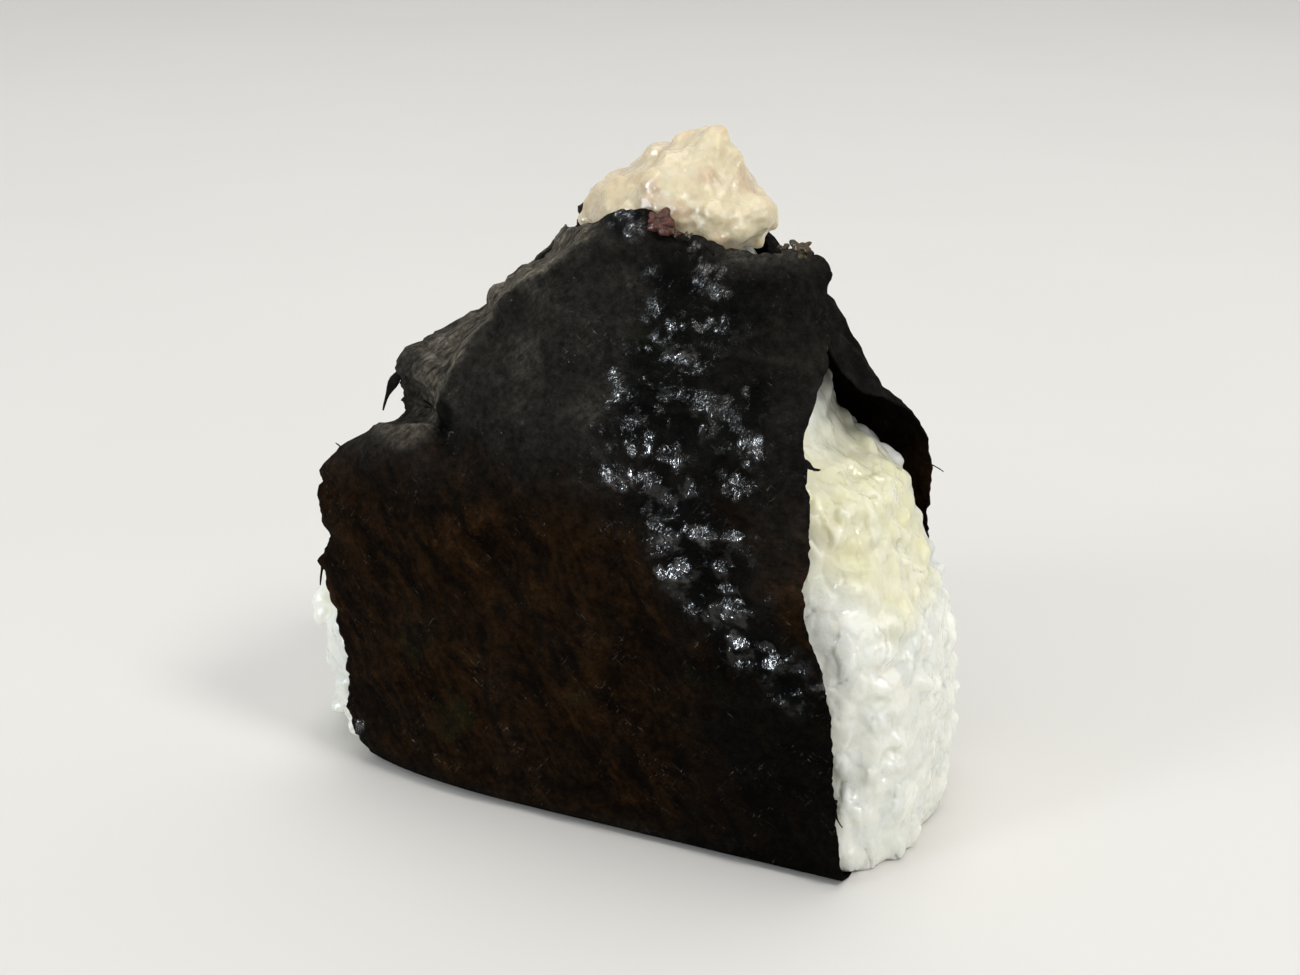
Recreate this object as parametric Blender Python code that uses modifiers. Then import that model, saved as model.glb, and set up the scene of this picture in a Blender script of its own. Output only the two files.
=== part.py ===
"""Onigiri: a pressed triangular rice ball in one nori sheet, with tuna mayonnaise heaped on its top.

Three closed solids: rice_body, nori_sheet and tuna_filling.
Lengths are in millimetres and are scaled to metres when a mesh is made.
X runs along the front face, -Y is the front, Z is up, and the surface it stands on is Z = 0.
The shapes are worked out about the middle of the base, and FRAME_SHIFT_X then centres them on the origin.
"""
import math

import bpy
import numpy as np
from mathutils import Vector, noise

MM = 0.001
FRAME_SHIFT_X = 1.33

# ---- rice: a triangle with rounded corners, pressed flat underneath, crowned front and back ----
RICE_CENTRE_Z = 34.0
RICE_HALF_WIDTH = 51.0
RICE_HALF_DEPTH = 22.0
RICE_SLOPE_DISTANCE = 40.6
RICE_SLOPE_ANGLE = math.radians(58.8)
RICE_TOP_DISTANCE = 48.0
RICE_BASE_DISTANCE = 33.1
RICE_KEEL_DISTANCE = 55.0
OUTLINE_POWER = 10.0
CROWN_POWER = 3.4
BASE_POWER = 20.0
LEAN = 0.115
TAPER_START_Z = 25.0
TAPER_RUN = 60.0
TAPER_AMOUNT = 0.17
# The right side is drawn in beside the back flap and at its waist; pairs run from no effect to full.
DENT_DEPTH = 6.0
DENT_HEIGHTS = (50.0, 57.0)
DENT_REACH = (18.0, 30.0)
WAIST_DEPTH = 0.9
WAIST_HEIGHT = 43.0
WAIST_SPREAD = 6.0
WAIST_REACH = (30.0, 40.0)
# The left end is drawn in all the way up, more at its foot, and most at its sole.
LEFT_END_INSET = 1.3
LEFT_END_REACH = (-30.0, -48.0)
LEFT_END_HEIGHTS = (62.0, 50.0)
LEFT_FOOT_INSET = 3.4
LEFT_FOOT_HEIGHTS = (16.0, 8.0)
LEFT_SOLE_INSET = 4.0
LEFT_SOLE_HEIGHTS = (9.0, 0.0)
RICE_SUBDIVISIONS = 5
RICE_LUMP_SIZE = 7.5
RICE_LUMP_HEIGHT = 1.1
RICE_LUMP_MIDDLE = 0.45
RICE_COVERED_SHARE = 0.3
# The nori covers the rice from this share of its half depth outwards.
RICE_COVER_REACH = (0.6, 0.9)
RICE_FLAT_MARGIN = 5.0

# ---- nori: one sheet, up the front, under the base and up the back ----
NORI_THICKNESS = 0.5
NORI_CLEARANCE = 1.1
NORI_COLUMNS = 22
NORI_ROWS_UP = 17
NORI_ROWS_UNDER = 7
NORI_SECTION_POWER = 3.0
NORI_CORNER_HEIGHT = 1.2
BASE_FOLD_SHARE = 0.03
EDGE_SOFTENING = 2.5
SOFTENING_SAMPLES = 9
SOFTENING_FALL = 0.8
SECTION_SAMPLES = 48
SECTION_SHARE_LIMIT = 0.9995
# Each cut edge is (height, x, distance in front of the middle plane); the back has its own set.
FRONT_LEFT_EDGE = ((0, -37, 17.3), (3, -39.4, 17.4), (18, -39.8, 17), (22, -42, 17),
                   (31, -43.7, 17), (41.5, -43.5, 16.5), (46.5, -41.8, 15.8), (50, -36, 9.5),
                   (52, -33.2, 9.5), (61, -33.5, 9.5), (63, -32.5, 8), (68.5, -24.5, 7),
                   (73.2, -18.4, 7), (79.3, -11.3, 7), (83.6, -5.7, 7.5), (88, -2, 9.5))
FRONT_RIGHT_EDGE = ((0, 41.5, 21.8), (13, 39.6, 21.3), (30, 37.9, 21.3), (39.6, 34.4, 21.3),
                    (51, 35.1, 21), (57.5, 34, 20.4), (62, 32.6, 18), (68, 31.8, 10), (74, 31, 6),
                    (81, 29.6, 3.5), (88, 27, 4))
BACK_LEFT_EDGE = ((0, -40, 18), (20, -40, 18), (35, -41, 18), (48, -38, 15), (56, -34, 9),
                  (66, -27, 5), (73.5, -20, 4), (78, -14.5, 3.5), (81, -11.5, 4), (85, -10.3, 4.5))
BACK_RIGHT_EDGE = ((0, 41, 20.5), (20, 40, 20), (38, 39, 18), (46, 39.6, 16.5), (52, 39, 16),
                   (56, 37.4, 15), (60, 35.9, 6), (64, 33.2, -1), (66, 31.8, -2), (73, 26, 0.5),
                   (80, 19, 2.5), (87, 12, 4.5))
FRONT_FACE_DISTANCE = ((0, 21.8), (10, 22.3), (40, 22.3), (60, 20.5), (75, 17), (82, 14), (88, 11.5))
BACK_FACE_DISTANCE = ((0, 21.8), (10, 22.3), (40, 22.3), (60, 20.5), (75, 17), (82, 14), (88, 11))
# Height of each top edge across the sheet, from its left edge (-1) to its right edge (1).
FRONT_TOP_EDGE = ((-1, 83.6), (-0.8, 84.3), (-0.54, 87.4), (-0.3, 88), (-0.11, 86), (0.2, 83.6),
                  (0.75, 82.6), (1, 79.8))
BACK_TOP_EDGE = ((-1, 84), (-0.7, 86), (0, 87), (0.5, 85), (1, 80))
# The front panel stands up in a shoulder where the wing over the left slope begins.
SHOULDER_RISE = 4.4
SHOULDER_HEIGHT = 51.0
SHOULDER_SPREAD = 6.0
SHOULDER_LEFT = (-41.0, -27.0)
SHOULDER_RIGHT = (-18.0, -26.0)
SHOULDER_DEPTHS = (3.0, 9.0)

# ---- filling: a soft mound on the flattened top ----
FILLING_CENTRE = (7.0, 0.0, 85.0)
FILLING_RADII = (13.2, 10.5, 6.4)
FILLING_SUBDIVISIONS = 4
# Each lump is (x, y, z, height, spread).
FILLING_LUMPS = ((9.6, 0.0, 91.0, 5.9, 5.2), (13.8, -1.0, 92.5, 2.0, 3.2), (4.0, 1.0, 91.0, 2.2, 3.6),
                 (19.6, -3.0, 87.2, 1.9, 2.8), (-3.5, -1.0, 88.5, 1.5, 4.0), (8.0, -7.0, 90.5, 1.6, 4.0),
                 (15.0, -7.0, 87.0, 1.4, 3.2), (1.0, 6.0, 90.0, 1.6, 4.0), (10.5, 6.5, 90.0, 1.6, 4.5))
FILLING_GRAIN_SIZE = 4.2
FILLING_GRAIN_HEIGHT = 0.7
FILLING_CLEARANCE = 1.2
FILLING_WALL_GAP = 1.9
FILLING_FREE_HEIGHT = 88.5
WALL_TOP_HEIGHT = 88.0

MATERIALS = {
    "rice_body": ((0.78, 0.79, 0.72), 0.35),
    "nori_sheet": ((0.012, 0.010, 0.008), 0.45),
    "tuna_filling": ((0.80, 0.68, 0.46), 0.30),
}


def make_material(name, colour, roughness):
    material = bpy.data.materials.new(name)
    material.use_nodes = True
    shader = material.node_tree.nodes["Principled BSDF"]
    shader.inputs["Base Color"].default_value = (*colour, 1.0)
    shader.inputs["Roughness"].default_value = roughness
    shader.inputs["Metallic"].default_value = 0.0
    return material


def placed(point):
    """A point in millimetres about the base's middle, as metres in the part's frame."""
    return Vector((point.x + FRAME_SHIFT_X, point.y, point.z)) * MM


def soft_step(limits, value):
    """0 up to the first limit, 1 past the second, and smooth between them."""
    share = min(max((value - limits[0]) / (limits[1] - limits[0]), 0.0), 1.0)
    return share * share * (3.0 - 2.0 * share)


def hump(value, middle, spread):
    """1 at the middle, dying away to both sides."""
    return math.exp(-(((value - middle) / spread) ** 2))


def soft_profile(table, at, column=1):
    """The value of a profile at a height, its corners rounded by averaging over a short stretch."""
    knots = np.array(table, float)
    offsets = np.linspace(-1.0, 1.0, SOFTENING_SAMPLES)
    weights = 1.0 - np.abs(offsets) * SOFTENING_FALL
    values = np.interp(at + offsets * EDGE_SOFTENING, knots[:, 0], knots[:, column])
    return float(values @ weights / weights.sum())


# ---------------------------------------------------------------- the rice body's surface

def rice_gauge(point):
    """1 on the undeformed rice body's surface, below 1 inside; point is relative to its centre."""
    x, y, z = abs(point[0]), abs(point[1]), point[2]
    sides = (
        (math.sin(RICE_SLOPE_ANGLE) * x + math.cos(RICE_SLOPE_ANGLE) * z) / RICE_SLOPE_DISTANCE,
        x / RICE_HALF_WIDTH,
        z / RICE_TOP_DISTANCE,
        -z / RICE_KEEL_DISTANCE,
    )
    outline = sum(max(side, 0.0) ** OUTLINE_POWER for side in sides) ** (1.0 / OUTLINE_POWER)
    crowned = (outline ** CROWN_POWER + (y / RICE_HALF_DEPTH) ** CROWN_POWER) ** (1.0 / CROWN_POWER)
    base = max(-z / RICE_BASE_DISTANCE, 0.0)
    return (crowned ** BASE_POWER + base ** BASE_POWER) ** (1.0 / BASE_POWER)


def taper(z):
    """Share of the full depth that is left at a height."""
    return 1.0 - TAPER_AMOUNT * soft_step((TAPER_START_Z, TAPER_START_Z + TAPER_RUN), z)


def lean_and_taper(point):
    """Leans the body towards +X as it rises and thins its upper part, from centred to part coordinates."""
    z = point[2] + RICE_CENTRE_Z
    return Vector((point[0] + LEAN * point[2], point[1] * taper(z), z))


def undo_lean_and_taper(point):
    z = point[2] - RICE_CENTRE_Z
    return Vector((point[0] - LEAN * z, point[1] / taper(point[2]), z))


def drawn_in(point):
    """The rice's right side and left end set in from the even triangle."""
    x, z = point.x, point.z
    x -= DENT_DEPTH * soft_step(DENT_HEIGHTS, z) * soft_step(DENT_REACH, x)
    x -= WAIST_DEPTH * hump(z, WAIST_HEIGHT, WAIST_SPREAD) * soft_step(WAIST_REACH, x)
    inset = LEFT_END_INSET + LEFT_FOOT_INSET * soft_step(LEFT_FOOT_HEIGHTS, z)
    inset += LEFT_SOLE_INSET * soft_step(LEFT_SOLE_HEIGHTS, z)
    x += inset * soft_step(LEFT_END_REACH, x) * soft_step(LEFT_END_HEIGHTS, z)
    return Vector((x, point.y, z))


def rice_relief(point):
    """Height of the lumps that the grains make: full on the open sides, low under the nori."""
    distances, _ = noise.voronoi(Vector(point) / RICE_LUMP_SIZE)
    lump = RICE_LUMP_MIDDLE - distances[0]
    start, end = RICE_COVER_REACH
    cover = min(max((abs(point[1]) / RICE_HALF_DEPTH - start) / (end - start), 0.0), 1.0)
    share = 1.0 - cover * (1.0 - RICE_COVERED_SHARE)
    above_base = min(max((point[2] + RICE_BASE_DISTANCE) / RICE_FLAT_MARGIN, 0.0), 1.0)
    return RICE_LUMP_HEIGHT * lump * share * above_base


def rice_surface(direction):
    """The point of the rice body's surface that lies in a direction from its centre."""
    smooth = direction / rice_gauge(direction)
    return drawn_in(lean_and_taper(smooth + direction.normalized() * rice_relief(smooth)))


def clear_of_rice(point, clearance):
    """The point itself, or where the rice is too near, a place outwards with the clearance to it."""
    inner = undo_lean_and_taper(point)
    needed = 1.0 + (clearance + max(rice_relief(inner), 0.0)) * rice_gauge(inner) / inner.length
    gauge = rice_gauge(inner)
    if gauge >= needed:
        return Vector(point)
    return lean_and_taper(inner * (needed / gauge))


# ---------------------------------------------------------------- the nori sheet's surface

def section_arc(edge_x, edge_y, face):
    """Points from the middle of a face round to a cut edge, along a superellipse through that edge."""
    share = min(abs(edge_y) / face, SECTION_SHARE_LIMIT)
    half_width = abs(edge_x) / (1.0 - share ** NORI_SECTION_POWER) ** (1.0 / NORI_SECTION_POWER)
    power = NORI_SECTION_POWER / 2.0
    end = math.atan2((abs(edge_x) / half_width) ** power, share ** power)
    if edge_y < 0:
        end = math.pi - end
    angles = np.linspace(0.0, end, SECTION_SAMPLES)
    cosine = np.cos(angles)
    x = half_width * np.abs(np.sin(angles)) ** (1.0 / power)
    y = face * np.sign(cosine) * np.abs(cosine) ** (1.0 / power)
    return math.copysign(1.0, edge_x) * x, y


def sheet_section(height, across, left, right, faces):
    """Place of the sheet at a height; across runs from -1 at the left cut edge to 1 at the right one."""
    face = soft_profile(faces, height)
    left_x, left_y = section_arc(soft_profile(left, height), soft_profile(left, height, 2), face)
    right_x, right_y = section_arc(soft_profile(right, height), soft_profile(right, height, 2), face)
    x = np.concatenate((left_x[::-1], right_x[1:]))
    y = np.concatenate((left_y[::-1], right_y[1:]))
    run = np.concatenate(([0.0], np.cumsum(np.hypot(np.diff(x), np.diff(y)))))
    wanted = (across + 1.0) / 2.0 * run[-1]
    return float(np.interp(wanted, run, x)), float(np.interp(wanted, run, y))


def front_point(across, up):
    top = float(np.interp(across, *np.array(FRONT_TOP_EDGE, float).T))
    height = NORI_CORNER_HEIGHT + up * (top - NORI_CORNER_HEIGHT)
    x, y = sheet_section(height, across, FRONT_LEFT_EDGE, FRONT_RIGHT_EDGE, FRONT_FACE_DISTANCE)
    rise = SHOULDER_RISE * hump(height, SHOULDER_HEIGHT, SHOULDER_SPREAD) * soft_step(SHOULDER_DEPTHS, y)
    rise *= soft_step(SHOULDER_LEFT, x) * soft_step(SHOULDER_RIGHT, x)
    return Vector((x, -y, height + rise))


def back_point(across, up):
    top = float(np.interp(across, *np.array(BACK_TOP_EDGE, float).T))
    height = NORI_CORNER_HEIGHT + up * (top - NORI_CORNER_HEIGHT)
    x, y = sheet_section(height, across, BACK_LEFT_EDGE, BACK_RIGHT_EDGE, BACK_FACE_DISTANCE)
    return Vector((x, y, height))


def above_base(point):
    """The sheet's inner side clear of the rice, and high enough for its outer side to clear Z = 0."""
    clear = clear_of_rice(point, NORI_CLEARANCE)
    return Vector((clear.x, clear.y, max(clear.z, NORI_THICKNESS)))


def share_across_base(row_under):
    """How far along the base a row lies; the first and last rows stay close to the two folds."""
    between_folds = (row_under - 1.0) / (NORI_ROWS_UNDER - 2.0)
    return BASE_FOLD_SHARE + (1.0 - 2.0 * BASE_FOLD_SHARE) * between_folds


def sheet_point(across, row):
    """Inner side of the sheet, row by row from the front's top edge, under the base, to the back's top."""
    if row <= NORI_ROWS_UP:
        return above_base(front_point(across, 1.0 - row / NORI_ROWS_UP))
    if row >= NORI_ROWS_UP + NORI_ROWS_UNDER:
        return above_base(back_point(across, (row - NORI_ROWS_UP - NORI_ROWS_UNDER) / NORI_ROWS_UP))
    front = above_base(front_point(across, 0.0))
    back = above_base(back_point(across, 0.0))
    place = front.lerp(back, share_across_base(row - NORI_ROWS_UP))
    return Vector((place.x, place.y, NORI_THICKNESS))


# ---------------------------------------------------------------- the filling's surface

def filling_point(direction):
    """A mound with soft lumps, kept between the two walls of nori and lying on the rice."""
    centre, radii = Vector(FILLING_CENTRE), FILLING_RADII
    point = centre + Vector((direction.x * radii[0], direction.y * radii[1], direction.z * radii[2]))
    outward = direction.normalized()
    for x, y, z, height, spread in FILLING_LUMPS:
        distance = (point - Vector((x, y, z))).length
        point = point + outward * height * math.exp(-((distance / spread) ** 2))
    point = point + outward * FILLING_GRAIN_HEIGHT * noise.noise(point / FILLING_GRAIN_SIZE)
    height = min(point.z, WALL_TOP_HEIGHT)
    play = max(point.z - FILLING_FREE_HEIGHT, 0.0) - FILLING_WALL_GAP
    front = soft_profile(FRONT_FACE_DISTANCE, height) + play
    back = soft_profile(BACK_FACE_DISTANCE, height) + play
    point.y = min(max(point.y, -front), back)
    return clear_of_rice(point, FILLING_CLEARANCE)


# ---------------------------------------------------------------- objects

def finish_object(name, collection):
    """Names the new object, gives it its material and moves it into the part's own collection."""
    piece = bpy.context.object
    piece.name = piece.data.name = name
    for holder in list(piece.users_collection):
        holder.objects.unlink(piece)
    collection.objects.link(piece)
    piece.data.materials.append(make_material(name, *MATERIALS[name]))
    piece.data.shade_smooth()
    return piece


def make_rice_body(collection):
    bpy.ops.mesh.primitive_ico_sphere_add(subdivisions=RICE_SUBDIVISIONS, radius=1.0)
    piece = finish_object("rice_body", collection)
    spread = (RICE_HALF_WIDTH, RICE_HALF_DEPTH, RICE_SLOPE_DISTANCE)
    for vertex in piece.data.vertices:
        direction = Vector(axis * reach for axis, reach in zip(vertex.co, spread))
        vertex.co = placed(rice_surface(direction))
    return piece


def make_nori_sheet(collection):
    rows = 2 * NORI_ROWS_UP + NORI_ROWS_UNDER
    bpy.ops.mesh.primitive_grid_add(x_subdivisions=NORI_COLUMNS, y_subdivisions=rows, size=2.0)
    piece = finish_object("nori_sheet", collection)
    for vertex in piece.data.vertices:
        row = round((vertex.co.y + 1.0) / 2.0 * rows)
        vertex.co = placed(sheet_point(vertex.co.x, row))
    thickness = piece.modifiers.new("sheet_thickness", "SOLIDIFY")
    thickness.thickness = NORI_THICKNESS * MM
    thickness.offset = -1.0
    return piece


def make_tuna_filling(collection):
    bpy.ops.mesh.primitive_ico_sphere_add(subdivisions=FILLING_SUBDIVISIONS, radius=1.0)
    piece = finish_object("tuna_filling", collection)
    for vertex in piece.data.vertices:
        vertex.co = placed(filling_point(vertex.co.copy()))
    return piece


def main():
    for old in list(bpy.data.objects):
        bpy.data.objects.remove(old)
    collection = bpy.data.collections.new("onigiri")
    bpy.context.scene.collection.children.link(collection)
    make_rice_body(collection)
    make_nori_sheet(collection)
    make_tuna_filling(collection)


main()
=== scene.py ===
"""Looks of the onigiri: fused rice grains, a crinkled nori sheet and a heap of tuna mayonnaise.

Shapes are worked out in millimetres and scaled to metres when a mesh is made.
"""
import math

import bmesh
import bpy
import numpy as np
from mathutils import Matrix, Vector, noise
from mathutils.bvhtree import BVHTree
from mathutils.kdtree import KDTree


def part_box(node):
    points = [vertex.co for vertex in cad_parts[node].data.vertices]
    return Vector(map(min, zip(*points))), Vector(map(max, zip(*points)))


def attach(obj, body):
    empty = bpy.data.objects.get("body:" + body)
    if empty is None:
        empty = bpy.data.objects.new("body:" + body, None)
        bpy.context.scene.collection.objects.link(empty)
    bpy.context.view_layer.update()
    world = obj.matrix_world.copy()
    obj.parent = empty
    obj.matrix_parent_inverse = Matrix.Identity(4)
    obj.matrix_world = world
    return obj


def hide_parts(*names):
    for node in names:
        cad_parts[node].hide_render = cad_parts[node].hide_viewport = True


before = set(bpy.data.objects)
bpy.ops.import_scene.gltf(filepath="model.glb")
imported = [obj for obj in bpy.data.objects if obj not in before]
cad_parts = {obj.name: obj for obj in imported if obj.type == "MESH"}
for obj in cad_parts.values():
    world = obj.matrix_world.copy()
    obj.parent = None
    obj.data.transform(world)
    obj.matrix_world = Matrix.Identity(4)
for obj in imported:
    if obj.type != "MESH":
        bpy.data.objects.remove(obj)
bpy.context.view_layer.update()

MM = 0.001
RNG = np.random.default_rng(20)

# The sheet's shape is worked out about the middle of the base, which lies this far along X in the frame.
SHEET_LOW, SHEET_HIGH = (np.array(corner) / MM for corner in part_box("nori_sheet"))
BASE_MIDDLE = np.array((SHEET_HIGH[0] - 41.315, 0.0, 0.0))

# ---- nori ----
NORI_OUTWARD = 0.5
NORI_THICKNESS = 0.32
NORI_CLEARANCE = 0.5
NORI_COLUMNS = 200
NORI_FRONT_ROWS = 190
NORI_UNDER_ROWS = 14
NORI_BACK_ROWS = 120
NORI_SECTION_POWER = 3.0
WING_SECTION_POWER = 1.9
NORI_CORNER_HEIGHT = 1.0
EDGE_SOFTENING = 1.3
CUT_SOFTENING = 0.35
FRAY_SIZE = 2.6
FRAY_DEPTH = 0.42
LEFT_FRAY = 1.8
SECTION_SAMPLES = 72
ROOF_RUN = 3.6
ROOF_DEPTH = 3.2
# Each cut edge is (height, x, distance in front of the middle plane); the back has its own set.
FRONT_LEFT_EDGE = ((0, -37, 17.3), (1.7, -37.4, 17.3), (2.5, -39.2, 17.4), (4.4, -39.6, 17.4), (7.2, -39.7, 17.3),
                   (7.8, -40.8, 17.2), (8.5, -40.1, 17.2), (10.7, -40.2, 17), (14.8, -39.7, 17), (18.6, -39.7, 17),
                   (20.4, -41.2, 17), (22.2, -42, 17), (23.8, -41.8, 17), (26.1, -42.4, 17), (27.9, -42.8, 17),
                   (30.2, -42.4, 17), (31.3, -44.1, 17), (33.2, -43.4, 17), (36.4, -41.8, 17), (37.7, -42.9, 17),
                   (41.4, -43.2, 16.5), (41.9, -43.7, 16.3), (43.9, -43, 16), (46.2, -42, 16),
                   (47.4, -41, 15.8), (48.8, -39.6, 15.5), (50.1, -35.6, 9.5), (51.8, -33.2, 9.5),
                   (60.6, -33.5, 9.5), (62, -33.4, 8.7), (63, -32.6, 8), (65.2, -29.7, 7), (68.5, -24.5, 7),
                   (70.7, -20.2, 7), (73.2, -18.4, 7), (76.7, -15.3, 7), (79.3, -11.3, 7), (82.5, -7.3, 7),
                   (83.6, -5.7, 7.5), (88, -2, 9.5))
FRONT_RIGHT_EDGE = ((0, 41.5, 21.8), (13, 39.6, 21.3), (30, 37.9, 21.3), (39.6, 34.4, 21.3), (51, 35.1, 21.0),
                    (57.5, 34, 20.4), (62, 32.6, 18), (68, 31.8, 10), (74, 31, 6), (81, 29.6, 3.5), (88, 27, 4))
BACK_LEFT_EDGE = ((0, -40, 18), (20, -40, 18), (35, -41, 18), (48, -38, 15), (56, -34, 9),
                  (66, -27, 5), (73.5, -20, 4), (78, -14.5, 3.5), (81, -11.5, 4), (85, -10.3, 4.5))
BACK_RIGHT_EDGE = ((0, 41, 20.5), (20, 40, 20), (38, 39, 18), (46, 39.6, 16.5), (52, 39, 16), (56, 37.4, 15),
                   (60, 35.9, 6), (64, 33.2, -1), (66, 31.8, -2), (73, 26, 0.5), (80, 19, 2.5), (87, 12, 4.5))
FRONT_FACE_DISTANCE = ((0, 21.8), (10, 22.3), (40, 22.3), (60, 20.5), (75, 17), (82, 14), (88, 11.5))
BACK_FACE_DISTANCE = ((0, 21.8), (10, 22.3), (40, 22.3), (60, 20.5), (75, 17), (82, 14), (88, 11))
FRONT_TOP_EDGE = ((-1, 83.6), (-0.8, 84.3), (-0.65, 86), (-0.54, 87.5), (-0.32, 88.1), (-0.19, 87.5), (-0.11, 86),
                  (0.08, 84.9), (0.21, 83.5), (0.46, 82.9), (0.75, 82.6), (0.93, 81.5), (1, 79.8))
BACK_TOP_EDGE = ((-1, 84), (-0.7, 86), (0, 87), (0.5, 85), (1, 80))
# The fold between the front panel and the wing laid over the left slope, as (height, x).
WING_FOLD = ((48, -25.5), (54.7, -23.8), (65.8, -18.2), (73.6, -13), (79.9, -4), (85, 1.5))
SHOULDER_RISE = 4.4
# The wet, glossy patch down the front, as (height, x of its middle, half its width).
WET_PATCH = ((22, 36, 0.4), (25, 35, 3), (31, 31, 7), (38, 22, 9), (46, 18, 10.5), (55, 15.5, 13), (64, 15.5, 12.5),
             (73, 14, 9), (80, 14, 6), (86, 12, 3))
# Wet creases that catch the light, as (x, height, half width, half height).
CREASES = ((6.9, 85.6, 2.2, 1.5), (4.6, 87.3, 1.6, 1.0), (14.3, 83.4, 1.3, 1.3), (17.4, 81.2, 1.5, 0.9), (18.3, 78.6, 1.8, 1.0),
           (13.2, 73.6, 1.9, 1.4), (17.8, 74.4, 2.2, 0.8), (14.8, 70.5, 2.2, 1.2), (6.0, 67.0, 1.0, 1.1),
           (7.5, 64.9, 1.3, 1.1), (18.9, 64.6, 1.0, 0.8), (22.5, 65.5, 1.2, 1.1), (11.6, 58.5, 1.4, 1.3),
           (15.2, 57.7, 1.7, 0.9), (7.6, 54.1, 1.7, 1.2), (11.5, 54.2, 1.4, 1.4), (26.2, 60.0, 1.2, 1.4),
           (25.2, 54.9, 2.3, 1.4), (15.4, 46.8, 3.1, 1.6), (20.6, 48.4, 1.5, 1.2), (25.0, 48.8, 2.0, 0.9),
           (16.8, 42.3, 2.4, 1.4), (22.8, 43.9, 1.3, 1.2), (24.0, 38.2, 2.2, 1.3), (26.1, 34.2, 1.6, 1.2),
           (31.4, 31.8, 1.8, 1.1), (37.0, 29.6, 1.2, 1.6), (-37.8, 6.0, 1.2, 1.5))
CREASE_RISE = 0.42
# The back carries the same creases the other way round, scaled about this x, and no relief above its limit.
BACK_PATCH_X = 20.0
BACK_RELIEF_LIMIT = 0.75
# Torn strips and loose fibres at the sheet's edges: start, middle and end of each, then its width.
SHREDS = (((-32.8, -9.8, 60.6), (-34.9, -10.4, 58.6), (-35.9, -10.8, 54.4), 1.5),
          ((-43.2, -17.0, 32.6), (-44.0, -17.4, 30.5), (-44.5, -17.2, 27.4), 0.8),
          ((-38.6, -16.6, 49.2), (-39.8, -16.4, 49.9), (-41.0, -16.0, 50.2), 0.22),
          ((-27.4, -7.6, 65.4), (-27.9, -7.4, 66.4), (-27.2, -7.2, 67.0), 0.5),
          ((39.3, 16.8, 48.4), (40.6, 16.4, 48.2), (41.6, 16.0, 47.8), 0.18),
          ((33.4, -20.9, 59.6), (34.6, -21.3, 60.4), (35.2, -21.2, 58.9), 0.55),
          ((33.8, -20.9, 60.0), (35.0, -21.6, 59.0), (36.1, -21.4, 59.3), 0.8),
          ((14.2, -12.5, 84.6), (13.0, -13.4, 85.5), (12.0, -13.6, 85.4), 0.5),
          ((17.0, -11.6, 83.0), (16.2, -12.3, 84.4), (15.0, -12.4, 84.6), 0.45),
          ((39.9, -21.4, 12.9), (39.4, -21.7, 10.8), (40.9, -21.4, 9.0), 0.5))

# ---- rice: the same pressed triangle as the CAD body, but resting squarely on its base ----
RICE_CENTRE_Z = 34.0
RICE_HALF_WIDTH = 51.0
RICE_HALF_DEPTH = 22.0
RICE_SLOPE_DISTANCE = 40.6
RICE_SLOPE_ANGLE = math.radians(58.8)
RICE_TOP_DISTANCE = 48.0
RICE_BASE_DISTANCE = 33.6
RICE_KEEL_DISTANCE = 55.0
OUTLINE_POWER = 10.0
CROWN_POWER = 3.4
BASE_POWER = 60.0
LEAN = 0.115
TAPER_START_Z = 25.0
TAPER_RUN = 60.0
TAPER_AMOUNT = 0.17
DENT_DEPTH = 6.0
WAIST_DEPTH = 0.9
LEFT_END_INSET = 1.9
LEFT_FOOT_INSET = 3.4
LEFT_SOLE_INSET = 6.0
NOTCH_INSET = 2.2
SLOPE_INSET = 1.6
BARE_CORE_INSET = 0.5
HIDDEN_CORE_INSET = 0.3
GRAIN_LENGTH = (4.8, 6.4)
GRAIN_WIDTH = (2.7, 3.4)
GRAIN_FLATNESS = 0.84
GRAIN_VOXEL = 0.41
HIDDEN_THINNING = 0.96

# Single grains that stick out of the pressed body: place, outward direction, length and width.
LOOSE_GRAINS = (((-48.6, -11.6, 22.4), (-0.4, -0.8, 0.4), 4.6, 3.1), ((-47.6, -13.2, 20.4), (-0.5, -0.8, 0.1), 4.4, 2.9))
FOOT_SWELL = 0.2
SOLE_HALF_DEPTH = 16.0
TOP_CORNER_DROP = 9.0
FLAKE_SIZE = (3.3, 3.3, 5.4)
SCALLOP_SIZE = (3.6, 3.6, 4.0)
SCALLOP_HEIGHT = 1.3
FLAKE_STEP = 0.45
GROOVE_DEPTH = 0.18
GROOVE_SHARE = 0.16
CRACK_DEPTH = 0.6

# Crumbs on the top edge: place, size, number of lumps, and 0 for flesh or 1 for leaf.
MORSELS = (((9.9, -13.2, 87.1), 2.7, 22, 0.0), ((26.6, -5.8, 83.4), 2.4, 16, 0.85), ((24.4, -5.4, 83.1), 1.5, 8, 1.0),
           ((13.6, -12.4, 85.3), 1.3, 8, 0.9), ((12.1, -13.0, 85.9), 1.4, 8, 0.3))

# ---- camera: the distance and angles at which the object is seen ----
CAMERA_PLACE = (111.08, -233.1, 138.7)
CAMERA_AZIMUTH = 25.0
CAMERA_PITCH = 20.09
CAMERA_LENS = 52.06


# ---------------------------------------------------------------- helpers

def noise_at(points, scale, seed=0.0, octaves=1, stretch=(1.0, 1.0, 1.0)):
    """Smooth noise, about -1 to 1, at each point; scale is the size of its lumps in the points' units."""
    offset = Vector((seed * 17.3, seed * -9.1, seed * 5.7))
    scaled = points / (np.array(stretch) * scale)
    if octaves == 1:
        return np.array([noise.noise(Vector(point) + offset) for point in scaled])
    return np.array([noise.fractal(Vector(point) + offset, 0.6, 2.1, octaves) for point in scaled])


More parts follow.
